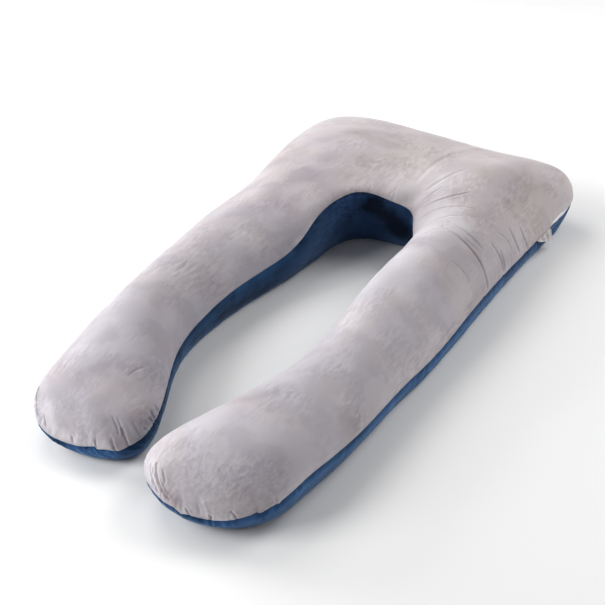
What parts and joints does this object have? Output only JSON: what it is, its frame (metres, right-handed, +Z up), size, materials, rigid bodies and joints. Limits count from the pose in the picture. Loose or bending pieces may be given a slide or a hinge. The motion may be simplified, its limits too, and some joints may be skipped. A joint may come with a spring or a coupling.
{
  "type": "body pillow",
  "caption": "Long U-shaped velvet body pillow, grey above and navy below, with a squared head, rounded arms and a zip in its edge seam.",
  "frame": {"origin": "middle of the part's plan, at the level it lies on", "axes": "+Y along the pillow from the arms' ends to its head, +X towards the side with the zip and the tab, +Z up through the grey panel"},
  "size_m": [0.8072, 1.5348, 0.2171],
  "materials": {
    "navy_velvet": "short velvet pile, matt with a soft sheen",
    "grey_velvet": "short velvet pile, matt with a soft sheen",
    "white_zip_tape": "woven tape, matt",
    "pale_tab_cloth": "plain weave, matt"
  },
  "bodies": {
    "root": {"filled_body": "navy_velvet", "top_panel": "grey_velvet", "zip_tape": "white_zip_tape", "seam_tab": "pale_tab_cloth"}
  },
  "joints": []
}
